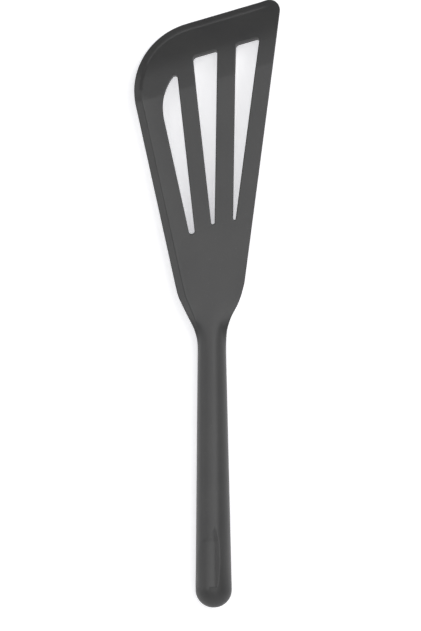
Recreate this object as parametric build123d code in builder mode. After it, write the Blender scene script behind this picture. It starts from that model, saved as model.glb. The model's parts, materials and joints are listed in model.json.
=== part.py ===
from build123d import *
import os
from math import acos, copysign, cos, pi, radians, sin, sqrt, tan

os.makedirs("parts", exist_ok=True)

# A slotted turner for fish, moulded in silicone over a spring steel insert and a stiff handle core.
# It lies on its front edge and its handle end. +Y points to the front edge, +X to the straight side
# of the blade, +Z up, and the origin is the middle of its footprint on the surface that it lies on.

# The whole tool
overall_length = 330.0
blade_length = 154.7
left_reach = 41.0
right_reach = 38.4
overrun = 10.0

# The outline of the blade, with its leans in degrees from the line of the handle
front_slant = 15.9
left_lean = 12.0
right_lean = 7.9
nose_radius = 38.8
corner_radius = 6.0
blade_thickness = 3.6

# The bend that brings the front edge down: a slight crease, then a curve and a straight tip
tip_run = 35.0
crease_angle = 6.0
tip_angle = 24.0
bend_radius = 43.0

# The thin lip along the front edge and the curved side
lip_width = 4.1
lip_drop = 1.2
lip_end_share = 0.6

# The three slots: one long opening crossed by two bars
slot_front_margin = 17.7
slot_length = 91.8
slot_left_margin = 13.4
slot_right_margin = 9.25
slot_nose_radius = 31.0
left_bar_width = 9.4
left_bar_lean = 5.9
left_bar_x = -9.3
right_bar_width = 10.0
right_bar_lean = -1.3
right_bar_x = 8.0
slot_far_radius = 2.4
slot_near_radius = 1.3
slot_point_radius = 1.5
slot_back_radius = 0.6

# The neck, where the flat blade turns into the round handle
neck_length = 37.3
neck_diameter = 15.4
neck_station_shares = (0.0, 0.174, 0.306, 0.48, 0.654, 0.828, 1.0)
neck_left_shares = (1.0, 0.866, 0.683, 0.421, 0.158, 0.016, 0.0)
neck_right_shares = (1.0, 0.818, 0.625, 0.288, 0.078, 0.012, 0.0)
neck_growth_shares = (0.0, 0.02, 0.09, 0.33, 0.66, 0.93, 1.0)
neck_flatness_shares = (1.0, 0.8, 0.55, 0.3, 0.12, 0.02, 0.0)
neck_squareness = 6.0
section_point_count = 48

# The handle, round from its neck to its end
handle_end_diameter = 19.6

# The thumb scoop on top of the handle, near its end
scoop_start = 44.0
scoop_stop = 11.7
scoop_depth = 1.4
scoop_radius = 16.0

# The steel insert in the blade, and its tang
insert_thickness = 0.8
insert_depth = 1.4
insert_edge_cover = 2.2
insert_slot_cover = 2.0
insert_corner_radius = 2.5
tang_width = 7.0
tang_length = 48.0
tang_taper_run = 8.0
tang_level_run = 3.0
tang_slope_run = 18.0
tang_bend_radius = 14.0

# The stiff core in the handle
core_cover = 2.6
core_lead = 4.0

# The two rivets through the core and the tang
rivet_count = 2
rivet_diameter = 3.0
rivet_head_diameter = 4.6
rivet_head_height = 1.2
rivet_inset = 12.0
rivet_pitch = 18.0

# Places that follow from the sizes
handle_x = (left_reach - right_reach) / 2
butt_y = -overall_length / 2
blade_back_y = overall_length / 2 - blade_length
neck_back_y = blade_back_y - neck_length
neck_radius = neck_diameter / 2
end_radius = handle_end_diameter / 2
end_y = butt_y + end_radius

# The sides of the blade: each has an outward direction and a reach from the origin
front_out = Vector(-sin(radians(front_slant)), cos(radians(front_slant)))
left_out = Vector(-cos(radians(left_lean)), -sin(radians(left_lean)))
right_out = Vector(cos(radians(right_lean)), -sin(radians(right_lean)))
corner_center = Vector(handle_x + right_reach - corner_radius, overall_length / 2 - corner_radius)
front_reach = front_out.dot(corner_center) + corner_radius
right_edge_reach = right_out.dot(corner_center) + corner_radius
nose_x = handle_x - left_reach + nose_radius
nose_y = (front_reach - nose_radius - front_out.X * nose_x) / front_out.Y
left_edge_reach = left_out.dot(Vector(nose_x, nose_y)) + nose_radius

# The slots and the bars between them: each bar has a lean, a place across the blade and a width
slot_front_reach = front_reach - slot_front_margin
slot_back_reach = slot_front_reach - slot_length
bar_y = (slot_front_reach + slot_back_reach) / 2 / front_out.Y
bars = (
    (left_bar_lean, left_bar_x, left_bar_width),
    (right_bar_lean, right_bar_x, right_bar_width),
)

# The bend is drawn looking along the front edge, so its run is measured square to that edge
tip_radians = radians(tip_angle)
crease_radians = radians(crease_angle)
bend_run = front_reach - tip_run - bend_radius * sin(crease_radians)
under_radius = bend_radius - blade_thickness
under_tip_run = front_reach - bend_run - under_radius * sin(tip_radians)
bend_z = under_tip_run * tan(tip_radians) - under_radius * cos(tip_radians)
blade_top = bend_z + bend_radius * cos(crease_radians)
tip_start_run = bend_run + bend_radius * sin(tip_radians)
tip_start_z = bend_z + bend_radius * cos(tip_radians)

# The front walls of the slots stand square to the tip, and the lip runs out on the neck
slot_front_z = tip_start_z - (slot_front_reach - tip_start_run) * tan(tip_radians)
lip_back_y = blade_back_y - neck_length * lip_end_share

# The insert, its tang, the core and the rivets
insert_inset = lip_width + insert_edge_cover
insert_z = blade_top - insert_depth - insert_thickness / 2
core_front_y = neck_back_y + core_lead
core_front_radius = neck_radius - core_cover
tang_start_y = blade_back_y - tang_taper_run
rivet_seat = core_front_radius - rivet_head_height
rivet_places = [
    (handle_x, core_front_y - rivet_inset - step * rivet_pitch, end_radius) for step in range(rivet_count)
]


def side_point(out, reach, y):
    """The point of a side of the blade at a given distance along the tool."""
    return ((reach - out.Y * y) / out.X, y)


def crossing(out_a, reach_a, out_b, reach_b):
    """The point where two sides meet."""
    det = out_a.X * out_b.Y - out_a.Y * out_b.X
    return ((reach_a * out_b.Y - reach_b * out_a.Y) / det, (out_a.X * reach_b - out_b.X * reach_a) / det)


def blade_outline(inset, right_inset, back_y, corner):
    """The blade from above, drawn in at the front and left by one inset and at the right by another."""
    front = front_reach - inset
    left = left_edge_reach - inset
    right = right_edge_reach - right_inset
    with BuildSketch() as outline:
        with BuildLine():
            Polyline(
                side_point(left_out, left, back_y),
                crossing(left_out, left, front_out, front),
                crossing(right_out, right, front_out, front),
                side_point(right_out, right, back_y),
                close=True,
            )
        make_face()
        fillet(outline.vertices().sort_by(Axis.Y)[-1], corner)
        fillet(outline.vertices().sort_by(Axis.X)[0], nose_radius - inset)
    return outline.sketch


def straight_slot(left, right, growth):
    """A slot from above, between two sides that come together towards the back."""
    front = (front_out, slot_front_reach + growth)
    back = (front_out, slot_back_reach - growth)
    with BuildSketch() as slot:
        with BuildLine():
            Polyline(
                crossing(*left, *back),
                crossing(*left, *front),
                crossing(*right, *front),
                crossing(*right, *back),
                close=True,
            )
        make_face()
        fillet(slot.vertices().sort_by(Axis.Y)[2], slot_far_radius + growth)
        fillet(slot.vertices().sort_by(Axis.Y)[-1], slot_near_radius + growth)
        fillet(slot.vertices().sort_by(Axis.Y)[:2], slot_back_radius + growth)
    return slot.sketch


def pointed_slot(left, right, growth):
    """The slot beside the curved side: its outer side curves over to a rounded point."""
    radius = slot_nose_radius + growth
    back = (front_out, slot_back_reach - growth)
    inner = (left[0], left[1] - radius)
    center = Vector(*crossing(*inner, front_out, slot_front_reach + growth - radius))
    offset = right[1] - right[0].dot(center)
    climb = sqrt(radius**2 - offset**2)
    point = center + right[0] * offset + Vector(-right[0].Y, right[0].X) * climb
    with BuildSketch() as slot:
        with BuildLine():
            RadiusArc(center + left[0] * radius, point, radius)
            Polyline(point, crossing(*right, *back), crossing(*left, *back), center + left[0] * radius)
        make_face()
        fillet(slot.vertices().sort_by(Axis.Y)[-1], slot_point_radius + growth)
        fillet(slot.vertices().sort_by(Axis.Y)[:2], slot_back_radius + growth)
    return slot.sketch


def slot_outlines(growth):
    """The three slots from above, each grown all round, so the bars between them get narrower."""
    sides = [(left_out, left_edge_reach - slot_left_margin + growth)]
    for lean, x, width in bars:
        out = Vector(cos(radians(lean)), sin(radians(lean)))
        reach = out.dot(Vector(handle_x + x, bar_y))
        sides.append((out, reach - width / 2 + growth))
        sides.append((-out, growth - reach - width / 2))
    sides.append((right_out, right_edge_reach - slot_right_margin + growth))
    return [
        pointed_slot(*sides[0:2], growth),
        straight_slot(*sides[2:4], growth),
        straight_slot(*sides[4:6], growth),
    ]


def bend_points(depth):
    """The bent blade's line at one depth under its top face: its back, three points of the curve, its tip."""
    radius = bend_radius - depth
    start = acos((bend_radius * cos(crease_radians) - depth) / radius)
    turns = (start, (start + tip_radians) / 2, tip_radians)
    curve = [(bend_run + radius * sin(turn), bend_z + radius * cos(turn)) for turn in turns]
    beyond = front_reach + overrun - curve[2][0]
    back = (-overall_length, blade_top - depth)
    tip = (front_reach + overrun, curve[2][1] - beyond * tan(tip_radians))
    return [back] + curve + [tip]


def bent_layer(top_depth, bottom_depth):
    """The part of the bent blade between two depths, wider and longer than the blade."""
    top = bend_points(top_depth)
    bottom = bend_points(bottom_depth)
    across = Vector(cos(radians(front_slant)), sin(radians(front_slant)))
    with BuildPart() as layer:
        with BuildSketch(Plane(origin=(0, 0, 0), x_dir=front_out, z_dir=across)):
            with BuildLine():
                Line(top[0], top[1])
                ThreePointArc(*top[1:4])
                Polyline(top[3], top[4], bottom[4], bottom[3])
                ThreePointArc(*bottom[3:0:-1])
                Polyline(bottom[1], bottom[0], top[0])
            make_face()
        extrude(amount=overall_length / 2, both=True)
    return layer.part


def round_handle(front_y, cover):
    """The round handle with its domed end, turned about its level axis and drawn in by a cover."""
    front_share = (front_y - end_y) / (neck_back_y - end_y)
    front_radius = end_radius + (neck_radius - end_radius) * front_share - cover
    with BuildPart() as handle:
        with BuildSketch(Plane.XY.offset(end_radius)):
            with BuildLine():
                RadiusArc((handle_x, butt_y + cover), (handle_x + end_radius - cover, end_y), cover - end_radius)
                Polyline(
                    (handle_x + end_radius - cover, end_y),
                    (handle_x + front_radius, front_y),
                    (handle_x, front_y),
                    (handle_x, butt_y + cover),
                )
            make_face()
        revolve(axis=Axis((handle_x, 0, end_radius), (0, 1, 0)))
    return handle.part


def neck_section(station, left_share, right_share, growth, flatness):
    """A section of the neck: from nearly the rectangle of the blade to the circle of the handle."""
    left = neck_radius + (blade_back_left - neck_radius) * left_share
    right = neck_radius + (blade_back_right - neck_radius) * right_share
    half_height = (blade_thickness + (neck_diameter - blade_thickness) * growth) / 2
    top = blade_top + (end_radius + neck_radius - blade_top) * growth
    power = 2 / (2 + neck_squareness * flatness)
    points = []
    for step in range(section_point_count):
        turn = 2 * pi * step / section_point_count
        side = copysign(abs(cos(turn)) ** power, cos(turn)) * (left + right) / 2
        rise = copysign(abs(sin(turn)) ** power, sin(turn)) * half_height
        points.append((handle_x + (right - left) / 2 + side, top - half_height + rise))
    with BuildSketch(Plane.XZ.offset(neck_length * station - blade_back_y)) as section:
        with BuildLine():
            Spline(*points, periodic=True)
        make_face()
    return section.sketch


# The neck: sections from the back of the blade to the front of the handle
blade_back_left = handle_x - side_point(left_out, left_edge_reach, blade_back_y)[0]
blade_back_right = side_point(right_out, right_edge_reach, blade_back_y)[0] - handle_x
neck_shares = zip(
    neck_station_shares, neck_left_shares, neck_right_shares, neck_growth_shares, neck_flatness_shares
)
neck_sections = [neck_section(*shares) for shares in neck_shares]
with BuildSketch(Plane.XZ.offset(-neck_back_y)) as neck_end:
    with Locations((handle_x, end_radius)):
        Circle(neck_radius)
neck_sections[-1] = neck_end.sketch

# The scoop is cut by a round bar that sinks into the top of the handle towards its end
scoop_slope = (neck_radius - end_radius) / (neck_back_y - end_y)
scoop_front = Vector(handle_x, butt_y + scoop_start, end_radius * 2 + scoop_slope * (scoop_start - end_radius))
scoop_back = Vector(
    handle_x, butt_y + scoop_stop, end_radius * 2 + scoop_slope * (scoop_stop - end_radius) - scoop_depth
)
scoop_line = (scoop_front - scoop_back).normalized()
scoop_up = Vector(0, -scoop_line.Z, scoop_line.Y)
scoop_plane = Plane(origin=scoop_back + scoop_up * scoop_radius, z_dir=scoop_line)

# The steel insert: its blade follows the bend, and its tang runs down into the handle core
with BuildPart() as blade_insert:
    add(bent_layer(insert_depth, insert_depth + insert_thickness))
    add(blade_outline(insert_inset, insert_edge_cover, blade_back_y, insert_corner_radius))
    extrude(amount=blade_top + overrun, mode=Mode.INTERSECT)
    for slot in slot_outlines(insert_slot_cover):
        add(slot)
        extrude(amount=blade_top + overrun, mode=Mode.SUBTRACT)
    with BuildSketch(Plane.XY.offset(insert_z - insert_thickness / 2)):
        with BuildLine():
            Polyline(
                side_point(left_out, left_edge_reach - insert_inset, blade_back_y),
                side_point(right_out, right_edge_reach - insert_edge_cover, blade_back_y),
                (handle_x + tang_width / 2, tang_start_y),
                (handle_x - tang_width / 2, tang_start_y),
                close=True,
            )
        make_face()
    extrude(amount=insert_thickness)
    with BuildLine(Plane.YZ.offset(handle_x)) as tang_line:
        FilletPolyline(
            (tang_start_y, insert_z),
            (tang_start_y - tang_level_run, insert_z),
            (tang_start_y - tang_level_run - tang_slope_run, end_radius),
            (core_front_y - tang_length, end_radius),
            radius=tang_bend_radius,
        )
    with BuildSketch(Plane.XZ.offset(-tang_start_y)):
        with Locations((handle_x, insert_z)):
            Rectangle(tang_width, insert_thickness)
    sweep(path=tang_line.line)
    with Locations(*rivet_places):
        Cylinder(rivet_diameter / 2, overrun, mode=Mode.SUBTRACT)
blade_insert.part.label = "blade_insert"

# The handle's shape inside its silicone, before the tang and the rivets go through it
with BuildPart() as core_shape:
    add(round_handle(core_front_y, core_cover))

# Two rivets, each a shank with a head at both ends, dressed flush with the round core
with BuildPart() as tang_rivets:
    with Locations(*rivet_places):
        Cylinder(rivet_diameter / 2, handle_end_diameter)
    for side in (-1, 1):
        with BuildSketch(Plane.XY.offset(end_radius + side * rivet_seat)):
            with Locations(*[(place[0], place[1]) for place in rivet_places]):
                Circle(rivet_head_diameter / 2)
        extrude(amount=side * overrun)
    add(core_shape.part, mode=Mode.INTERSECT)
tang_rivets.part.label = "tang_rivets"

# The stiff core, with the slot that the tang fills and the holes that the rivets fill
with BuildPart() as handle_core:
    add(core_shape.part)
    add(blade_insert.part, mode=Mode.SUBTRACT)
    add(tang_rivets.part, mode=Mode.SUBTRACT)
handle_core.part.label = "handle_core"

# The seamless silicone body: bent blade, neck and handle in one, hollow where the insert and core are
with BuildPart() as lip_cut:
    add(bent_layer(-overrun, lip_drop))
    add(blade_outline(-overrun, -overrun, lip_back_y, corner_radius))
    extrude(amount=blade_top + overrun, mode=Mode.INTERSECT)
    add(blade_outline(lip_width, -overrun - overrun, lip_back_y, corner_radius))
    extrude(amount=blade_top + overrun, mode=Mode.SUBTRACT)

with BuildPart() as slot_cut:
    for slot in slot_outlines(0):
        add(slot)
    extrude(amount=blade_top + overrun)
    tip_plane = Plane(
        origin=front_out * slot_front_reach + Vector(0, 0, slot_front_z),
        z_dir=front_out * cos(tip_radians) - Vector(0, 0, sin(tip_radians)),
    )
    split(bisect_by=tip_plane, keep=Keep.BOTTOM)

with BuildPart() as silicone_skin:
    add(bent_layer(0, blade_thickness))
    add(blade_outline(0, 0, blade_back_y, corner_radius))
    extrude(amount=blade_top + overrun, mode=Mode.INTERSECT)
    for section in neck_sections:
        add(section)
    loft()
    add(round_handle(neck_back_y, 0))
    add(lip_cut.part, mode=Mode.SUBTRACT)
    add(slot_cut.part, mode=Mode.SUBTRACT)
    with BuildSketch(scoop_plane):
        Circle(scoop_radius)
    extrude(amount=scoop_start, mode=Mode.SUBTRACT)
    add(blade_insert.part, mode=Mode.SUBTRACT)
    add(core_shape.part, mode=Mode.SUBTRACT)
silicone_skin.part.label = "silicone_skin"

for piece in (silicone_skin, blade_insert, handle_core, tang_rivets):
    export_step(piece.part, f"parts/{piece.part.label}.step")
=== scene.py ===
# %% [markdown]
# # A fish spatula in dark silicone
# The tool is one seamless moulding: a slotted blade with a bent front edge and a thin lip, a neck and
# a round handle. Steel, a stiff core and two rivets are hidden inside it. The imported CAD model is
# loaded first as a fixed frame. The seamless skin is then modelled again with soft edges, a thin
# lip, a smooth neck and a thumb rest, and every finish is a procedural material.

# %% Load the frame
import json
from math import asin, atan2, cos, degrees, pi, radians, sin, sqrt, tan

import bmesh
import bpy
from mathutils import Matrix, Vector

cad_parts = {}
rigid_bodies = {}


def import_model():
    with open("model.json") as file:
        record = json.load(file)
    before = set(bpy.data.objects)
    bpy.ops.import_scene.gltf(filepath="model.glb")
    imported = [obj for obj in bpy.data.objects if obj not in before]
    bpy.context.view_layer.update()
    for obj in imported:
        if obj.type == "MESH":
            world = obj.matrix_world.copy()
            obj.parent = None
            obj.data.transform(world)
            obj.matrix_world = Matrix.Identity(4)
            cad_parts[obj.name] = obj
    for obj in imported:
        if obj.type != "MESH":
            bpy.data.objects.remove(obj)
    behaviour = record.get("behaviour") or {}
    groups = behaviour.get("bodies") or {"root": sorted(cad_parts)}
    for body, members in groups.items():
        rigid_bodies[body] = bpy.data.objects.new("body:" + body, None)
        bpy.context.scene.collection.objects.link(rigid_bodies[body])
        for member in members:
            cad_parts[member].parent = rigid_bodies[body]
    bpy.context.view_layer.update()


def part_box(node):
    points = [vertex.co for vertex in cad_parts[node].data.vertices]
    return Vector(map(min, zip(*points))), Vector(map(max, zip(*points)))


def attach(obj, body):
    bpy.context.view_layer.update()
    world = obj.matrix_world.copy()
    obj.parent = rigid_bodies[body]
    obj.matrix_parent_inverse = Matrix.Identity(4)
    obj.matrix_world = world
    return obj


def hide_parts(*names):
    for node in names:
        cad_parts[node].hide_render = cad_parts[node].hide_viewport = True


for thing in list(bpy.data.objects):
    bpy.data.objects.remove(thing)
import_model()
skin_low, skin_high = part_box("silicone_skin")

# %% [markdown]
# ## Sizes of the blade
# The frame gives the overall box. The rest are the tool's own sizes in metres, with the leans of its
# sides in degrees. A side is kept as the angle of its outward direction and its reach from the
# origin, so a margin or a growth is a plain sum, and the corner of two sides is where they cross.

# %% Driving sizes
mm = 0.001
up = Vector((0, 0, 1))
butt_y = skin_low.y
front_tip_y = skin_high.y
left_reach = 41.0 * mm
right_reach = 38.4 * mm
handle_x = (left_reach - right_reach) / 2
blade_length = 154.7 * mm
blade_thickness = 3.6 * mm
blade_back_y = front_tip_y - blade_length

front_slant = 15.9
left_lean = 12.0
right_lean = 7.9
nose_radius = 38.8 * mm
corner_radius = 6.0 * mm

tip_run = 35.0 * mm
crease_angle = radians(6.0)
tip_angle = radians(28.2)
bend_radius = 56.0 * mm


def direction(angle):
    """The flat direction at an angle in degrees, counted from +X."""
    return Vector((cos(radians(angle)), sin(radians(angle)), 0))


def crossing(side_a, side_b):
    """The corner where two sides meet."""
    normals = Matrix((direction(side_a[0]).xy, direction(side_b[0]).xy))
    return (normals.inverted() @ Vector((side_a[1], side_b[1]))).to_3d()


def moved(side, distance):
    """A side shifted outwards by a distance."""
    return (side[0], side[1] + distance)


print("handle's axis at x", round(handle_x / mm, 2), "blade from y", round(blade_back_y / mm, 2), "in mm")

# %% [markdown]
# ## The sides of the blade and of its slots
# The front edge slants, the left side runs out into a large rounded nose, and the right side is
# nearly parallel to the handle. Two straight bars divide one long opening into three slots, so the
# sides of the slots follow from the sides of the blade, their margins, and the bars.

# %% Sides
front_angle = 90 + front_slant
left_angle = 180 + left_lean
right_angle = -right_lean
corner_centre = Vector((handle_x + right_reach - corner_radius, front_tip_y - corner_radius, 0))
front_direction = direction(front_angle)
right_direction = direction(right_angle)
front_side = (front_angle, front_direction.dot(corner_centre) + corner_radius)
right_side = (right_angle, right_direction.dot(corner_centre) + corner_radius)
nose_x = handle_x - left_reach + nose_radius
nose_y = (front_side[1] - nose_radius - front_direction.x * nose_x) / front_direction.y
left_side = (left_angle, direction(left_angle).dot(Vector((nose_x, nose_y, 0))) + nose_radius)

slot_front_margin = 19.2 * mm
slot_length = 90.3 * mm
slot_left_margin = 13.4 * mm
slot_right_margin = 9.25 * mm
slot_nose_radius = 31.0 * mm
slot_far_radius = 2.4 * mm
slot_near_radius = 1.3 * mm
slot_point_radius = 1.5 * mm
slot_backs = ((1.75 * mm, 1.35 * mm), (0, 0.7 * mm), (1.0 * mm, 0.6 * mm))
bars = ((5.9, -9.3 * mm, 9.4 * mm), (-1.3, 8.0 * mm, 10.0 * mm))

slot_front = moved(front_side, -slot_front_margin)
slot_back = (front_angle - 180, slot_length - slot_front[1])
bar_y = (slot_front[1] - slot_length / 2) / front_direction.y
slot_sides = [moved(left_side, -slot_left_margin)]
for lean, x, width in bars:
    reach = direction(lean).dot(Vector((handle_x + x, bar_y, 0)))
    slot_sides.append((lean, reach - width / 2))
    slot_sides.append((lean + 180, -reach - width / 2))
slot_sides.append(moved(right_side, -slot_right_margin))
print("slot sides", [(round(a, 1), round(r, 4)) for a, r in slot_sides])

# %% [markdown]
# ## Outlines as arcs
# Every outline here is a ring of arcs joined by straight runs. An arc starts as one vertex that the
# spin operator turns about the arc's centre, so the round parts are true arcs. Each vertex carries
# its distance from the rim in a layer of its own, which the operators interpolate as they cut.

# %% Arcs and rings
arc_step = 4.0
short_arc_steps = 8


def rounding(side_a, side_b, radius):
    """The arc between two sides: its centre, radius, and start and stop angles, clockwise."""
    centre = crossing(moved(side_a, -radius), moved(side_b, -radius))
    return centre, radius, side_a[0], side_b[0]


def outline(mesh, arcs, rim_layer, rim_distance):
    """A closed ring of edges through the given arcs, its vertices marked with their rim distance."""
    ring = []
    for centre, radius, start, stop in arcs:
        before = len(mesh.verts)
        vertex = mesh.verts.new(centre + direction(start) * radius)
        if radius:
            turn = (start - stop) % 360
            steps = max(short_arc_steps, round(turn / arc_step))
            bmesh.ops.spin(mesh, geom=[vertex], cent=centre, axis=-up, angle=radians(turn), steps=steps)
        mesh.verts.ensure_lookup_table()
        ring += mesh.verts[before:]
    for a, b in zip(ring, ring[1:] + ring[:1]):
        if not mesh.edges.get((a, b)):
            mesh.edges.new((a, b))
    for vertex in ring:
        vertex[rim_layer] = rim_distance
    return [mesh.edges.get(pair) for pair in zip(ring, ring[1:] + ring[:1])]


# %% Outlines of the blade and of its slots
run_on = 8 * mm


def blade_arcs(inset):
    """The blade's outline drawn in by an inset, running on a little behind the blade's back line."""
    front, left, right = (moved(side, -inset) for side in (front_side, left_side, right_side))
    back = (-90, run_on - blade_back_y)
    return [
        rounding(left, front, nose_radius - inset),
        rounding(front, right, corner_radius - inset),
        (crossing(right, back), 0, 0, 0),
        (crossing(back, left), 0, 0, 0),
    ]


def straight_slot_arcs(left, right, back, back_radius, growth):
    """A slot between two sides that come together towards the back."""
    front, back = moved(slot_front, growth), moved(back, growth)
    left, right = moved(left, growth), moved(right, growth)
    return [
        rounding(left, front, slot_far_radius + growth),
        rounding(front, right, slot_near_radius + growth),
        rounding(right, back, back_radius + growth),
        rounding(back, left, back_radius + growth),
    ]


def pointed_slot_arcs(left, right, back, back_radius, growth):
    """The slot beside the curved side, where one large arc runs up to a rounded point."""
    back = moved(back, growth)
    left, right = moved(left, growth), moved(right, growth)
    radius, point_radius = slot_nose_radius + growth, slot_point_radius + growth
    centre = crossing(moved(left, -radius), moved(slot_front, growth - radius))
    offset = right[1] - point_radius - direction(right[0]).dot(centre)
    climb = sqrt((radius - point_radius) ** 2 - offset**2)
    point = direction(right[0]) * offset + direction(right[0] + 90) * climb
    point_angle = degrees(atan2(point.y, point.x))
    return [
        (centre, radius, left[0], point_angle),
        (centre + point, point_radius, point_angle, right[0]),
        rounding(right, back, back_radius + growth),
        rounding(back, left, back_radius + growth),
    ]


nose = blade_arcs(0)[0]
print("nose of radius", round(nose[1] / mm, 1), "mm turns", round((nose[2] - nose[3]) % 360, 1), "degrees")

# %% [markdown]
# ## The flat sheet
# The top face of the blade is drawn flat first. Rings close to the rim carry the lip and hold the
# shading straight next to each rounded edge, the rest is filled between the rings, and planes then cut
# the sheet where it has to bend: across the tip, and in a fan in front of the neck.

# %% Rings and fill
lip_insets = [0, 0.7 * mm, 2.2 * mm, 3.6 * mm, 4.2 * mm, 5.0 * mm]
slot_growths = [0, 0.7 * mm, 1.1 * mm]
band = lip_insets[-1]
tiny = 0.001 * mm

sheet = bmesh.new()
rim_layer = sheet.verts.layers.float.new("rim_distance")
rings = [outline(sheet, blade_arcs(inset), rim_layer, inset) for inset in lip_insets]
for outer, inner in zip(rings, rings[1:]):
    bmesh.ops.bridge_loops(sheet, edges=outer + inner)
fill_edges = rings[-1]
for number, arcs_of in enumerate((pointed_slot_arcs, straight_slot_arcs, straight_slot_arcs)):
    left, right = slot_sides[2 * number : 2 * number + 2]
    run_out, back_radius = slot_backs[number]
    back = moved(slot_back, run_out)
    slot_rings = [
        outline(sheet, arcs_of(left, right, back, back_radius, growth), rim_layer, band)
        for growth in slot_growths
    ]
    for inner, outer in zip(slot_rings, slot_rings[1:]):
        bmesh.ops.bridge_loops(sheet, edges=inner + outer)
    fill_edges = fill_edges + slot_rings[-1]
bmesh.ops.triangle_fill(sheet, use_beauty=True, use_dissolve=False, edges=fill_edges, normal=up)
bmesh.ops.recalc_face_normals(sheet, faces=sheet.faces[:])
print("sheet area in cm2", round(sum(face.calc_area() for face in sheet.faces) * 1e4, 2), len(sheet.faces))

# %% Cuts in front of the neck
fan_end_y = blade_back_y + 18 * mm
fan_count = 30


def cut(mesh, faces, point, normal, clear=False):
    """Cut some faces with a plane, and clear what lies beyond it if asked."""
    geometry = set(faces)
    for face in faces:
        geometry.update(face.edges, face.verts)
    bmesh.ops.bisect_plane(
        mesh, geom=list(geometry), dist=tiny, plane_co=point, plane_no=normal, clear_outer=clear
    )


cut(sheet, sheet.faces[:], Vector((0, blade_back_y, 0)), Vector((0, -1, 0)), clear=True)
cut(sheet, sheet.faces[:], Vector((0, fan_end_y, 0)), Vector((0, 1, 0)))


def fill_faces(mesh):
    """The faces of the fill in front of the neck, inside the rings."""
    return [
        face
        for face in mesh.faces
        if all(v.co.y < fan_end_y + tiny and v[rim_layer] > band - tiny for v in face.verts)
    ]


ends = []
for y in (blade_back_y, fan_end_y):
    line = (90, y)
    ends.append((crossing(moved(left_side, -band), line), crossing(moved(right_side, -band), line)))
for step in range(1, fan_count):
    share = step / fan_count
    near, far = (left.lerp(right, share) for left, right in ends)
    cut(sheet, fill_faces(sheet), near, (far - near).cross(up))
print("faces with the fan", len(sheet.faces))

# %% Cuts where the lip fades out
lip_end = 4 * mm
lip_fade = 8 * mm
fade_cuts = 8
strip_margin = 1.0 * mm
for step in range(fade_cuts + 1):
    inset = lip_end + lip_fade * step / fade_cuts
    strip = [
        face
        for face in sheet.faces
        if all(v[rim_layer] < band + tiny for v in face.verts)
        and all(v.co.dot(front_direction) > front_side[1] - band - strip_margin for v in face.verts)
    ]
    cut(sheet, strip, right_direction * (right_side[1] - inset), right_direction)
print("faces with the lip's end", len(sheet.faces))

# %% Cuts across the bend
crease_round = 8.0 * mm
bend_cut = 1.2 * mm
before_bend = 0.5 * mm
after_bend = 0.6 * mm
bend_start = front_side[1] - tip_run - crease_round * sin(crease_angle) / 2
crease_end = bend_start + crease_round * sin(crease_angle)
bend_end = crease_end + bend_radius * (sin(tip_angle) - sin(crease_angle))
cut_runs = [bend_start - before_bend, bend_start, (bend_start + crease_end) / 2, crease_end]
bend_cuts = round((bend_end - crease_end) / bend_cut)
cut_runs += [crease_end + (bend_end - crease_end) * step / bend_cuts for step in range(1, bend_cuts + 1)]
cut_runs.append(bend_end + after_bend)
for run in cut_runs:
    cut(sheet, sheet.faces[:], front_direction * run, front_direction)
print("faces with the bend", len(sheet.faces))

# %% [markdown]
# ## The lip
# The lip is given as depths under the top face, one for each ring next to the rim. Along the curved
# side the face rises to a small crest, drops, and slopes down to the rim. Along the front edge it drops
# to a ledge that is nearly level with the bent tip. One form eases into the other where the bend
# begins, and the lip fades out at the far corner, where the straight side begins. It could also be
# cut out of the solid blade, but depths on rings that are there already keep the faces in even rows.

# %% Lip and thickness
side_depths = (0.95 * mm, 0.85 * mm, 0.645 * mm, 0.45 * mm, -0.12 * mm, 0)
front_depths = (0.5 * mm, 0.5 * mm, 0.48 * mm, 0.45 * mm, 0.07 * mm, 0)
lip_turn_run = 8.0 * mm


def lip_depth(rim_distance, side_share=1):
    """How deep the lip lies under the top face, at a distance from the rim, on the side or in front."""
    depths = [side * side_share + front * (1 - side_share) for side, front in zip(side_depths, front_depths)]
    place = max(k for k in range(len(lip_insets) - 1) if lip_insets[k] <= rim_distance + tiny)
    share = (rim_distance - lip_insets[place]) / (lip_insets[place + 1] - lip_insets[place])
    return depths[place] * (1 - share) + depths[place + 1] * share


def eased(share):
    """A share kept between 0 and 1, with a soft start and a soft end."""
    share = min(max(share, 0), 1)
    return share * share * (3 - 2 * share)


for vertex in sheet.verts:
    from_right = right_side[1] - right_direction.dot(vertex.co)
    lip_share = eased((from_right - lip_end) / lip_fade)
    side_share = eased((bend_start - vertex.co.dot(front_direction)) / lip_turn_run + 1)
    vertex.co.z = -lip_depth(vertex[rim_layer], side_share) * lip_share
top_faces = sheet.faces[:]
extruded = bmesh.ops.extrude_face_region(sheet, geom=top_faces)["geom"]
for vertex in extruded:
    if isinstance(vertex, bmesh.types.BMVert):
        vertex.co.z = -blade_thickness
bmesh.ops.recalc_face_normals(sheet, faces=sheet.faces[:])
back_wall = [face for face in sheet.faces if all(v.co.y < blade_back_y + tiny for v in face.verts)]
bmesh.ops.delete(sheet, geom=back_wall, context="FACES")
print("blade faces", len(sheet.faces), "back wall", len(back_wall))

# %% [markdown]
# ## Soft rims
# Moulded silicone has no sharp edges. Every rim, also inside the slots, gets a small round bevel. The
# rings that were put next to the rims keep the flat faces flat in the shading. The operator is used
# instead of a modifier, because the rounded sheet is still to be bent.

# %% Bevel the rims
edge_round = 0.5 * mm
edge_segments = 4
sharp = radians(55)
rims = [e for e in sheet.edges if len(e.link_faces) == 2 and e.calc_face_angle() > sharp]
bmesh.ops.bevel(
    sheet,
    geom=rims,
    offset=edge_round,
    offset_type="OFFSET",
    segments=edge_segments,
    profile=0.5,
    affect="EDGES",
    clamp_overlap=False,
    material=-1,
)
print("rim edges", len(rims), "faces", len(sheet.faces))

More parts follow.
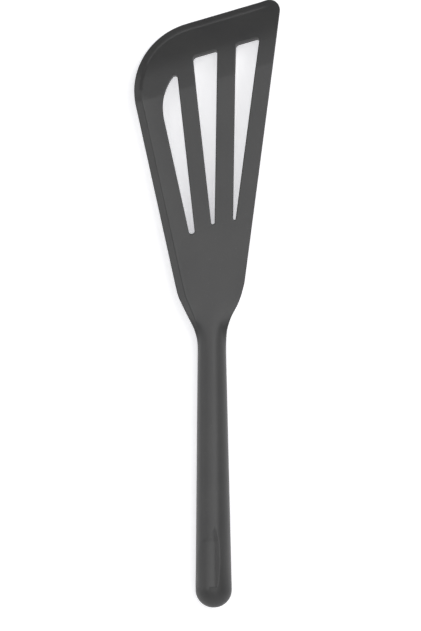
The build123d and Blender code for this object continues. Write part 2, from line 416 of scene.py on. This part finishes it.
# %% [markdown]
# ## Bending the tip
# The flat blade is now laid on its real height. Each vertex keeps its place seen from above on the
# top face, falls with the bend, and goes in along the face's normal by its depth, so that the slot
# walls and the front edge stand square to the bent tip, as on a sheet that was bent. The height is
# chosen so that the lower front edge rests on the floor. Towards the straight right side the vertices
# move along that side only, which keeps it straight. A bend modifier would draw the tip in as seen
# from above, so each vertex is placed by a formula here: a short arc at the crease, then a longer one.

# %% Fall of the top face
bends = ((crease_round, crease_angle), (bend_radius, tip_angle))


def fall(run):
    """How far the top face has fallen at a run towards the front edge, and its slope there."""
    start, height, slope = bend_start, 0.0, 0.0
    for radius, end_slope in bends:
        reach = radius * (sin(end_slope) - sin(slope))
        if run < start + reach:
            turned = asin(max(run - start, 0) / radius + sin(slope))
            return height - radius * (cos(slope) - cos(turned)), turned
        start, height, slope = start + reach, height - radius * (cos(slope) - cos(end_slope)), end_slope
    return height - (run - start) * tan(slope), slope


print("the front edge falls by", round(-fall(front_side[1])[0] / mm, 2), "mm")

# %% Bend
tip_start_run = front_side[1] - tip_run + bend_radius * (sin(tip_angle) - sin(crease_angle))
under_start_run = tip_start_run - blade_thickness * sin(tip_angle)
rest_run = front_side[1] - blade_thickness * sin(tip_angle)
under_start_z = (rest_run - under_start_run) * tan(tip_angle)
tip_start_z = under_start_z + blade_thickness * cos(tip_angle)
blade_top = tip_start_z + bend_radius * (cos(crease_angle) - cos(tip_angle))

for vertex in sheet.verts:
    height, slope = fall(vertex.co.dot(front_direction))
    depth = -vertex.co.z
    shift = (front_direction * sin(slope) + up * cos(slope)) * -depth
    rim_share = max(1 - (right_side[1] - right_direction.dot(vertex.co)) / slot_right_margin, 0)
    shift -= right_direction * right_direction.dot(shift) * rim_share
    vertex.co.z = blade_top + height
    vertex.co += shift
print("blade top", round(blade_top, 5), "lowest", round(min(v.co.z for v in sheet.verts), 5))

# %% [markdown]
# ## Neck and handle
# The open back of the blade is a ring of edges. It is extruded backwards again and again, and each
# new ring is placed between two forms: the flat section of the blade and a round one. The handle is
# the same ring, now round, carried on to its domed end, where it closes in a pole. Two outlines
# could be bridged in one step instead, but rings placed one by one follow the waist of the neck.

# %% Sections of the neck
neck_length = 37.3 * mm
neck_radius = 7.7 * mm
width_share = 1.016
end_radius = (skin_high.z - skin_low.z) / 2
axis_z = skin_low.z + end_radius
neck_back_y = blade_back_y - neck_length
neck_stations = (0.0, 0.174, 0.306, 0.48, 0.654, 0.828, 1.0)
neck_left_shares = (1.0, 0.866, 0.683, 0.421, 0.158, 0.016, 0.0)
neck_right_shares = (1.0, 0.818, 0.625, 0.288, 0.078, 0.012, 0.0)
neck_growth_shares = (0.0, 0.02, 0.09, 0.33, 0.66, 0.93, 1.0)
neck_flatness_shares = (1.0, 1.0, 0.93, 0.72, 0.4, 0.1, 0.0)
neck_lip_shares = (1.0, 1.0, 0.9, 0.5, 0.1, 0.0, 0.0)
side_turn = radians(13)

back_left = crossing(left_side, (90, blade_back_y)).x
back_right = crossing(right_side, (90, blade_back_y)).x


def share_at(shares, place):
    """A smooth value between the shares at the stations, at a place from 0 to 1 along the neck."""
    last = len(neck_stations) - 1
    left = max(k for k in range(last) if neck_stations[k] <= place)
    width = neck_stations[left + 1] - neck_stations[left]
    slopes = []
    for k in (left, left + 1):
        a, b = max(k - 1, 0), min(k + 1, last)
        slopes.append((shares[b] - shares[a]) / (neck_stations[b] - neck_stations[a]) * width)
    t = (place - neck_stations[left]) / width
    return (
        shares[left] * (2 * t**3 - 3 * t**2 + 1)
        + slopes[0] * (t**3 - 2 * t**2 + t)
        + shares[left + 1] * (3 * t**2 - 2 * t**3)
        + slopes[1] * (t**3 - t**2)
    )


print("the blade's back runs from x", round(back_left / mm, 2), "to", round(back_right / mm, 2), "in mm")

# %% Marks on the ring
x_layer = sheet.verts.layers.float.new("start_x")
depth_layer = sheet.verts.layers.float.new("start_depth")
drop_layer = sheet.verts.layers.float.new("start_drop")
turn_layer = sheet.verts.layers.float.new("turn")


def mark_ring(vertex):
    """Keep where a vertex of the blade's back section lies, and its turn on the round section."""
    vertex[x_layer] = vertex.co.x
    vertex[depth_layer] = blade_top - vertex.co.z
    vertex[drop_layer] = lip_depth(min(vertex.co.x - back_left, band))
    across = 2 * (vertex.co.x - back_left) / (back_right - back_left) - 1
    level = (vertex[depth_layer] - vertex[drop_layer]) / (blade_thickness - vertex[drop_layer])
    rise = 1 - 2 * level
    reach = max(abs(across), abs(rise))
    across, rise = across / reach, rise / reach
    if abs(rise) > abs(across) - tiny:
        turn = pi / 2 - across * (pi / 2 - side_turn)
        vertex[turn_layer] = turn if rise > 0 else -turn
    else:
        vertex[turn_layer] = rise * side_turn if across > 0 else pi - rise * side_turn


ring = [e for e in sheet.edges if e.is_boundary]
for vertex in {v for e in ring for v in e.verts}:
    mark_ring(vertex)
print("ring of", len(ring), "edges")


# %% Places along the neck
def neck_point(vertex, place):
    """Where a ring vertex lies at a place along the neck, between a flat and a round section."""
    growth = share_at(neck_growth_shares, place)
    flatness = share_at(neck_flatness_shares, place)
    narrow = neck_radius * width_share
    left = narrow + (handle_x - back_left - narrow) * share_at(neck_left_shares, place)
    right = narrow + (back_right - handle_x - narrow) * share_at(neck_right_shares, place)
    thickness = blade_thickness + (2 * neck_radius - blade_thickness) * growth
    top = blade_top + (axis_z + neck_radius - blade_top) * growth
    from_left = vertex[x_layer] - back_left
    from_right = back_right - vertex[x_layer]
    if from_left < band:
        flat_x = handle_x - left + from_left
    elif from_right < band:
        flat_x = handle_x + right - from_right
    else:
        share = (from_left - band) / (back_right - back_left - 2 * band)
        flat_x = handle_x - left + band + (left + right - 2 * band) * share
    drop = vertex[drop_layer]
    level = (vertex[depth_layer] - drop) / (blade_thickness - drop)
    drop *= share_at(neck_lip_shares, place)
    flat_z = top - drop - (thickness - drop) * level
    round_x = handle_x + (right - left) / 2 + (left + right) / 2 * cos(vertex[turn_layer])
    round_z = top - thickness / 2 + thickness / 2 * sin(vertex[turn_layer])
    y = blade_back_y - neck_length * place
    return Vector((round_x, y, round_z)).lerp(Vector((flat_x, y, flat_z)), flatness)


# %% Places on the handle
thin_start = 31.0 * mm
thin_drop = 1.8 * mm
rest_stop = 11.6 * mm


def kept_height(y):
    """The share of its height that the handle's top half keeps where it thins out towards the end."""
    run = max(butt_y + thin_start - y, 0) / (thin_start - rest_stop)
    return 1 - thin_drop * run * run / end_radius


def handle_point(vertex, y, radius):
    """Where a ring vertex lies on the round handle."""
    turn = vertex[turn_layer]
    rise = radius * sin(turn)
    if rise > 0:
        rise *= kept_height(y)
    return Vector((handle_x + radius * width_share * cos(turn), y, axis_z + rise))


# %% Extrude the rings
neck_ring_count = 40
handle_step = 2.0 * mm
dome_ring_count = 14
end_y = butt_y + end_radius
handle_length = neck_back_y - end_y
handle_ring_count = round(handle_length / handle_step)


def extend(ring, place_vertex):
    """Extrude the ring once, place its new vertices, and return the new ring."""
    made = bmesh.ops.extrude_edge_only(sheet, edges=ring)["geom"]
    fresh = {g for g in made if isinstance(g, bmesh.types.BMVert)}
    for vertex in fresh:
        vertex.co = place_vertex(vertex)
    return [g for g in made if isinstance(g, bmesh.types.BMEdge) and set(g.verts) <= fresh]


for step in range(1, neck_ring_count + 1):
    ring = extend(ring, lambda v: neck_point(v, step / neck_ring_count))
for step in range(1, handle_ring_count + 1):
    share = step / handle_ring_count
    radius = neck_radius + (end_radius - neck_radius) * share
    ring = extend(ring, lambda v: handle_point(v, neck_back_y - handle_length * share, radius))
for step in range(1, dome_ring_count + 1):
    turn = pi / 2 * step / dome_ring_count
    radius = end_radius * cos(turn) if step < dome_ring_count else 0
    ring = extend(ring, lambda v: handle_point(v, end_y - end_radius * sin(turn), radius))
bmesh.ops.remove_doubles(sheet, verts=sheet.verts[:], dist=tiny)
bmesh.ops.recalc_face_normals(sheet, faces=sheet.faces[:])
print("faces", len(sheet.faces), "cm3", round(sheet.calc_volume() * 1e6, 2))

# %% [markdown]
# ## The thumb rest
# A shallow rest for the thumb is pressed into the top of the handle near its end. Its floor is rounded
# like the handle but lies a little to the left, where it runs out in the handle, and a low slope
# bounds it to the right. It starts with a gentle ramp and ends in a crisp line, where the end of the
# handle falls away. The faces there are cut into a fine grid first, and the grid is then pressed down
# to the floor wherever it stands above it. A boolean would give the same hollow, but its long thin
# faces would spoil the smooth shading beside it.

# %% Floor of the rest
rest_left = -4.3 * mm
rest_foot = 1.1 * mm
rest_right = 5.2 * mm
rest_far_left = -9.75 * mm
rest_start = 45.2 * mm
floor_radius = 8.6 * mm
floor_crown = -1.3 * mm
slope_rise = 0.52
ramp_length = 9.0 * mm
ramp_rise = 0.7 * mm
start_lift = 0.2 * mm


def handle_top(x, from_end):
    """The height of the handle's surface above a place beside its axis, at a distance from its end."""
    share = (neck_back_y - (butt_y + from_end)) / handle_length
    radius = neck_radius + (end_radius - neck_radius) * min(share, 1)
    return axis_z + kept_height(butt_y + from_end) * sqrt(radius**2 - x**2)


def rest_floor(x, from_end):
    """The height of the rest's floor, and of the slope beside it."""
    share = (rest_start - from_end) / (rest_start - rest_stop)
    start, stop = handle_top(rest_left, rest_start) + start_lift, handle_top(rest_left, rest_stop)
    edge = start * (1 - share) + stop * share
    across = min(x, rest_foot)
    crown = sqrt(floor_radius**2 - (across - floor_crown) ** 2)
    crown -= sqrt(floor_radius**2 - (rest_left - floor_crown) ** 2)
    slope = (x - across) * slope_rise * (1 + share) / 2
    ramp = max(from_end - rest_start + ramp_length, 0) * ramp_rise / ramp_length
    return edge + crown + slope + ramp


floor_ends = [round(rest_floor(0, from_end) / mm, 2) for from_end in (rest_start, rest_stop)]
print("the rest's floor starts and stops at", floor_ends, "mm")

# %% Press the rest into the handle
rest_grid = 0.3 * mm
rest_step = 0.12 * mm
rest_margin = 2.0 * mm
edge_step = 1.0 * mm


def rest_faces():
    """The faces on top of the handle round the rest."""
    low, high = butt_y + rest_stop - rest_margin, butt_y + rest_start + rest_margin
    return [f for f in sheet.faces if all(low < v.co.y < high and v.co.z > axis_z for v in f.verts)]


across_cuts = [rest_foot]
while across_cuts[0] > rest_far_left:
    across_cuts.insert(0, across_cuts[0] - rest_grid)
while across_cuts[-1] < rest_right:
    across_cuts.append(across_cuts[-1] + rest_grid)
for x in across_cuts:
    cut(sheet, rest_faces(), Vector((handle_x + x, 0, 0)), Vector((1, 0, 0)))
ramp_cuts = round(ramp_length / rest_grid)
along_cuts = [rest_stop - rest_step, rest_stop, rest_stop + edge_step]
along_cuts += [rest_start - ramp_length + rest_grid * n for n in range(ramp_cuts + 1)]
for from_end in along_cuts:
    cut(sheet, rest_faces(), Vector((0, butt_y + from_end, 0)), Vector((0, 1, 0)))
deepest = 0
for vertex in {v for face in rest_faces() for v in face.verts}:
    x, from_end = vertex.co.x - handle_x, vertex.co.y - butt_y
    if from_end > rest_stop - tiny and rest_far_left < x < rest_right:
        floor_z = rest_floor(x, from_end)
        deepest = max(deepest, vertex.co.z - floor_z)
        vertex.co.z = min(vertex.co.z, floor_z)
print("deepest place of the rest in mm", round(deepest / mm, 2), "faces", len(sheet.faces))


# %% Finish the skin
def finished(name, mesh):
    """Turn a bmesh into an object of the scene."""
    data = bpy.data.meshes.new(name)
    mesh.to_mesh(data)
    mesh.free()
    piece = bpy.data.objects.new(name, data)
    bpy.context.scene.collection.objects.link(piece)
    return piece


smooth_limit = radians(32)
open_edges = [e for e in sheet.edges if not e.is_manifold]
skin = finished("skin", sheet)
for polygon in skin.data.polygons:
    polygon.use_smooth = True
skin.data.set_sharp_from_angle(angle=smooth_limit)
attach(skin, "root")
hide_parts("silicone_skin")
print("skin faces", len(skin.data.polygons), "open edges", len(open_edges))

# %% [markdown]
# ## Helpers for the finishes
# Every finish is a small tree of nodes on the piece's own coordinates, in metres. A noise gives the
# pattern, a range turns it into a colour, a roughness or a height, and the shader takes it from there.

# %% Materials and patterns
def finish(name):
    """A new material with its tree, its shader, and the piece's own coordinates."""
    material = bpy.data.materials.new(name)
    material.use_nodes = True
    tree = material.node_tree
    coordinates = tree.nodes.new("ShaderNodeTexCoord").outputs["Object"]
    return material, tree, tree.nodes["Principled BSDF"], coordinates


def noise(tree, coordinates, feature, detail=2, stretch=None):
    """A noise whose spots are about as large as the feature, stretched along an axis if asked."""
    if stretch:
        mapping = tree.nodes.new("ShaderNodeMapping")
        mapping.inputs["Scale"].default_value = stretch
        tree.links.new(coordinates, mapping.inputs["Vector"])
        coordinates = mapping.outputs["Vector"]
    texture = tree.nodes.new("ShaderNodeTexNoise")
    texture.inputs["Scale"].default_value = 1 / feature
    texture.inputs["Detail"].default_value = detail
    tree.links.new(coordinates, texture.inputs["Vector"])
    return texture.outputs["Fac"]


def spread(tree, value, low, high, start=0.3, stop=0.7):
    """Turn the middle of a noise into a range of numbers."""
    node = tree.nodes.new("ShaderNodeMapRange")
    for name, number in (("From Min", start), ("From Max", stop), ("To Min", low), ("To Max", high)):
        node.inputs[name].default_value = number
    tree.links.new(value, node.inputs["Value"])
    return node.outputs["Result"]


# %% Colours and relief
def blend_colours(tree, factor, first, second):
    """A colour between two, each a colour or the output of another node."""
    node = tree.nodes.new("ShaderNodeMix")
    node.data_type = "RGBA"
    tree.links.new(factor, node.inputs["Factor"])
    sockets = [socket for socket in node.inputs if socket.type == "RGBA"]
    for socket, colour in zip(sockets, (first, second)):
        if isinstance(colour, tuple):
            socket.default_value = (*colour, 1)
        else:
            tree.links.new(colour, socket)
    return [socket for socket in node.outputs if socket.type == "RGBA"][0]


def relief(tree, height, depth, below=None):
    """A bump of a depth in metres, laid over another one if given."""
    node = tree.nodes.new("ShaderNodeBump")
    node.inputs["Distance"].default_value = depth
    tree.links.new(height, node.inputs["Height"])
    if below:
        tree.links.new(below, node.inputs["Normal"])
    return node.outputs["Normal"]


def dress(piece, material):
    """Give a piece one finish all over."""
    if not piece.material_slots:
        piece.data.materials.append(material)
    for slot in piece.material_slots:
        slot.material = material
    print(piece.name, "is", material.name, "of", len(material.node_tree.nodes), "nodes")


# %% [markdown]
# ## Silicone
# The skin is satin silicone in a neutral dark grey. A mould that was blasted with fine grit gives it a
# grain of tenths of a millimetre and an even sheen. Over that lie a weak cloudiness in the pigment, and
# the slow unevenness that rubber gets as it shrinks in the mould. Fine dust clings to it here and there.
# A picture could give all this, but noise stays crisp close up and needs no unwrapping.

# %% Silicone finish
dark_grey, light_grey = (0.033, 0.033, 0.034), (0.039, 0.039, 0.039)
dust_grey = (0.11, 0.11, 0.108)
cloud_size, grain_size, ripple_size, dust_size = 22 * mm, 0.35 * mm, 5 * mm, 0.8 * mm
grain_depth, ripple_depth = 0.012 * mm, 0.02 * mm
silicone_roughness = (0.36, 0.45)
dust_cover, dust_range = (0, 0.5), (0.66, 0.8)

silicone, tree, shader, place = finish("satin silicone")
cloud = noise(tree, place, cloud_size, detail=3)
grain = noise(tree, place, grain_size, detail=3)
ripple = noise(tree, place, ripple_size)
dust = noise(tree, place, dust_size, detail=6)
pigment = blend_colours(tree, spread(tree, cloud, 0, 1), dark_grey, light_grey)
speckled = blend_colours(tree, spread(tree, dust, *dust_cover, *dust_range), pigment, dust_grey)
tree.links.new(speckled, shader.inputs["Base Color"])
tree.links.new(spread(tree, grain, *silicone_roughness), shader.inputs["Roughness"])
waves = relief(tree, ripple, ripple_depth)
tree.links.new(relief(tree, grain, grain_depth, waves), shader.inputs["Normal"])
dress(skin, silicone)

# %% [markdown]
# ## Steel and nylon inside
# The hidden pieces are finished too, because the tool may be shown open. The insert is spring steel
# brushed along its length, the core is grey nylon with short glass fibres, and the rivets are tumbled
# steel. Stretched along one axis, the spots of a noise become brush lines and fibres.

# %% Brushed steel of the insert
dull_steel, bright_steel = (0.50, 0.50, 0.49), (0.60, 0.60, 0.59)
line_width, line_stretch, line_depth = 0.25 * mm, (1, 0.012, 1), 0.006 * mm
stain_size = 14 * mm
brushed_roughness = (0.26, 0.48)

brushed, tree, shader, place = finish("brushed spring steel")
lines = noise(tree, place, line_width, detail=4, stretch=line_stretch)
stain = noise(tree, place, stain_size, detail=3)
metal = blend_colours(tree, spread(tree, stain, 0, 1), dull_steel, bright_steel)
tree.links.new(metal, shader.inputs["Base Color"])
shader.inputs["Metallic"].default_value = 1.0
tree.links.new(spread(tree, lines, *brushed_roughness), shader.inputs["Roughness"])
tree.links.new(relief(tree, lines, line_depth), shader.inputs["Normal"])
dress(bpy.data.objects["blade_insert"], brushed)

# %% Nylon of the core
dark_resin, light_resin, glass = (0.20, 0.20, 0.19), (0.25, 0.25, 0.235), (0.42, 0.41, 0.38)
fibre_width, fibre_stretch, fibre_depth = 0.3 * mm, (1, 0.15, 1), 0.02 * mm
resin_cloud_size = 9 * mm
nylon_roughness, fibre_range = (0.7, 0.5), (0.55, 0.7)

nylon, tree, shader, place = finish("glass filled nylon")
fibres = noise(tree, place, fibre_width, detail=5, stretch=fibre_stretch)
cloud = noise(tree, place, resin_cloud_size)
resin = blend_colours(tree, spread(tree, cloud, 0, 1), dark_resin, light_resin)
flecked = blend_colours(tree, spread(tree, fibres, 0, 1, *fibre_range), resin, glass)
tree.links.new(flecked, shader.inputs["Base Color"])
tree.links.new(spread(tree, fibres, *nylon_roughness), shader.inputs["Roughness"])
tree.links.new(relief(tree, fibres, fibre_depth), shader.inputs["Normal"])
dress(bpy.data.objects["handle_core"], nylon)

# %% Tumbled steel of the rivets
dark_steel, light_steel = (0.44, 0.43, 0.42), (0.58, 0.57, 0.55)
dent_size, dent_depth = 0.5 * mm, 0.015 * mm
tumbled_roughness = (0.5, 0.3)

tumbled, tree, shader, place = finish("tumbled steel")
dents = noise(tree, place, dent_size, detail=4)
metal = blend_colours(tree, spread(tree, dents, 0, 1), dark_steel, light_steel)
tree.links.new(metal, shader.inputs["Base Color"])
shader.inputs["Metallic"].default_value = 1.0
tree.links.new(spread(tree, dents, *tumbled_roughness), shader.inputs["Roughness"])
tree.links.new(relief(tree, dents, dent_depth), shader.inputs["Normal"])
dress(bpy.data.objects["tang_rivets"], tumbled)

# %% [markdown]
# ## Floor
# The tool lies on a white sweep. The paper lights the tool as plain paper does, while the camera and
# mirrored rays also see it glow a little, as a lit studio sweep does, so it reads as white and keeps
# the tool's soft shadow.

# %% Floor
floor_reach = 6
paper_colour = (0.9, 0.9, 0.89, 1)
paper_roughness = 0.9
paper_glow = (0.47, 0.47, 0.49, 1)


def combined(tree, operation, first, second):
    """The result of a sum, product or the like of two values."""
    node = tree.nodes.new("ShaderNodeMath")
    node.operation = operation
    tree.links.new(first, node.inputs[0])
    tree.links.new(second, node.inputs[1])
    return node.outputs["Value"]


def seen_rays(tree):
    """1 for rays of the camera, for mirrored and for see-through rays, and 0 for all others."""
    rays = tree.nodes.new("ShaderNodeLightPath").outputs
    mirrored = combined(tree, "MAXIMUM", rays["Is Glossy Ray"], rays["Is Transmission Ray"])
    return combined(tree, "MAXIMUM", rays["Is Camera Ray"], mirrored)


floor_mesh = bmesh.new()
bmesh.ops.create_grid(floor_mesh, x_segments=1, y_segments=1, size=floor_reach)
floor = finished("floor", floor_mesh)
paper, tree, shader, place = finish("white paper")
shader.inputs["Base Color"].default_value = paper_colour
shader.inputs["Roughness"].default_value = paper_roughness
shader.inputs["Emission Color"].default_value = paper_glow
tree.links.new(seen_rays(tree), shader.inputs["Emission Strength"])
dress(floor, paper)

# %% [markdown]
# ## Light
# Long softboxes over the tool give the flat blade its sheen, which the bent tip misses. A large one at
# the upper right draws the soft shadow along the left side, and a small key light sharpens the sheen
# of the handle. The others stand all round and brighten its flanks and its end. Each has its tilt
# from straight up and its turn from +X in degrees, its width and length in metres, and its watts.
# The room's white wall is only seen by the camera and in mirrored rays, and beyond the blade it is
# mirrored more darkly, which keeps the tip and its ledge dark.

# %% White wall
far_wall_strength = 0.1
far_wall_edge = (0.3, 0.7)
wall_fade = (sin(radians(20)), sin(radians(40)))

world = bpy.data.worlds.new("room")
bpy.context.scene.world = world
world.use_nodes = True
tree = world.node_tree
heading = tree.nodes.new("ShaderNodeTexCoord").outputs["Object"]
split = tree.nodes.new("ShaderNodeSeparateXYZ")
tree.links.new(heading, split.inputs["Vector"])
wall = spread(tree, split.outputs["Z"], 1, 0, *wall_fade)
far_wall = spread(tree, split.outputs["Y"], 1, far_wall_strength, *far_wall_edge)
camera_ray = tree.nodes.new("ShaderNodeLightPath").outputs["Is Camera Ray"]
far_wall = combined(tree, "MAXIMUM", far_wall, camera_ray)
shown = combined(tree, "MULTIPLY", combined(tree, "MULTIPLY", wall, far_wall), seen_rays(tree))
backdrop = tree.nodes["Background"]
backdrop.inputs["Color"].default_value = (1, 1, 1, 1)
tree.links.new(shown, backdrop.inputs["Strength"])
print("nodes of the wall", len(tree.nodes))

# %% Softboxes
lamp_distance = 2.0
softboxes = (
    ("overhead", 6, 270, 2.4, 0.5, 10.0),
    ("above", 0, 0, 2.4, 0.5, 2.0),
    ("behind", 25, 300, 0.8, 0.8, 2.8),
    ("low_back", 23, 265, 0.8, 0.8, 2.2),
    ("back_left", 36, 222, 0.8, 0.8, 2.0),
    ("key", 18, 60, 0.24, 0.24, 2.4),
    ("low_key", 25, 15, 0.3, 0.3, 1.0),
    ("left", 60, 180, 1.2, 1.2, 3.5),
    ("high_left", 40, 180, 0.9, 0.9, 3.0),
    ("right", 60, 300, 1.2, 1.2, 0.8),
    ("side", 45, 0, 1.0, 1.0, 1.4),
    ("back", 45, 270, 1.0, 1.0, 2.2),
    ("front", 38, 105, 0.8, 0.8, 3.3),
    ("front_right", 45, 40, 1.0, 1.0, 14.5),
)

for name, tilt, turn, width, length, power in softboxes:
    lamp = bpy.data.lights.new(name, "AREA")
    lamp.shape = "RECTANGLE"
    lamp.size = width
    lamp.size_y = length
    lamp.energy = power
    holder = bpy.data.objects.new(name, lamp)
    aim = direction(turn) * sin(radians(tilt)) + up * cos(radians(tilt))
    holder.location = aim * lamp_distance
    holder.rotation_euler = (-aim).to_track_quat("-Z", "Y").to_euler()
    bpy.context.scene.collection.objects.link(holder)
print("lamps", len(softboxes), "watts", sum(lamp[-1] for lamp in softboxes))

# %% [markdown]
# ## Camera
# The tool is seen from straight above, turned by less than half a degree. The lens is worked out from
# the size that one pixel of the picture has on the floor, so the scale there doesn't change with the
# camera's distance.

# %% Camera
pixel_size = 0.54495 * mm
sensor_size = 36
picture_height = 631
camera_roll = radians(0.44)
camera_distance = 1.6
camera_x = 0.7 * mm
camera_y = -6.8 * mm
lens = bpy.data.cameras.new("camera")
lens.sensor_width = sensor_size
lens.lens = sensor_size * camera_distance / (picture_height * pixel_size)
camera = bpy.data.objects.new("camera", lens)
camera.location = (camera_x, camera_y, camera_distance)
camera.rotation_euler = (0, 0, -camera_roll)
bpy.context.scene.collection.objects.link(camera)
bpy.context.scene.camera = camera
bpy.context.scene.view_settings.view_transform = "Standard"
print("lens of", round(lens.lens, 1), "mm")
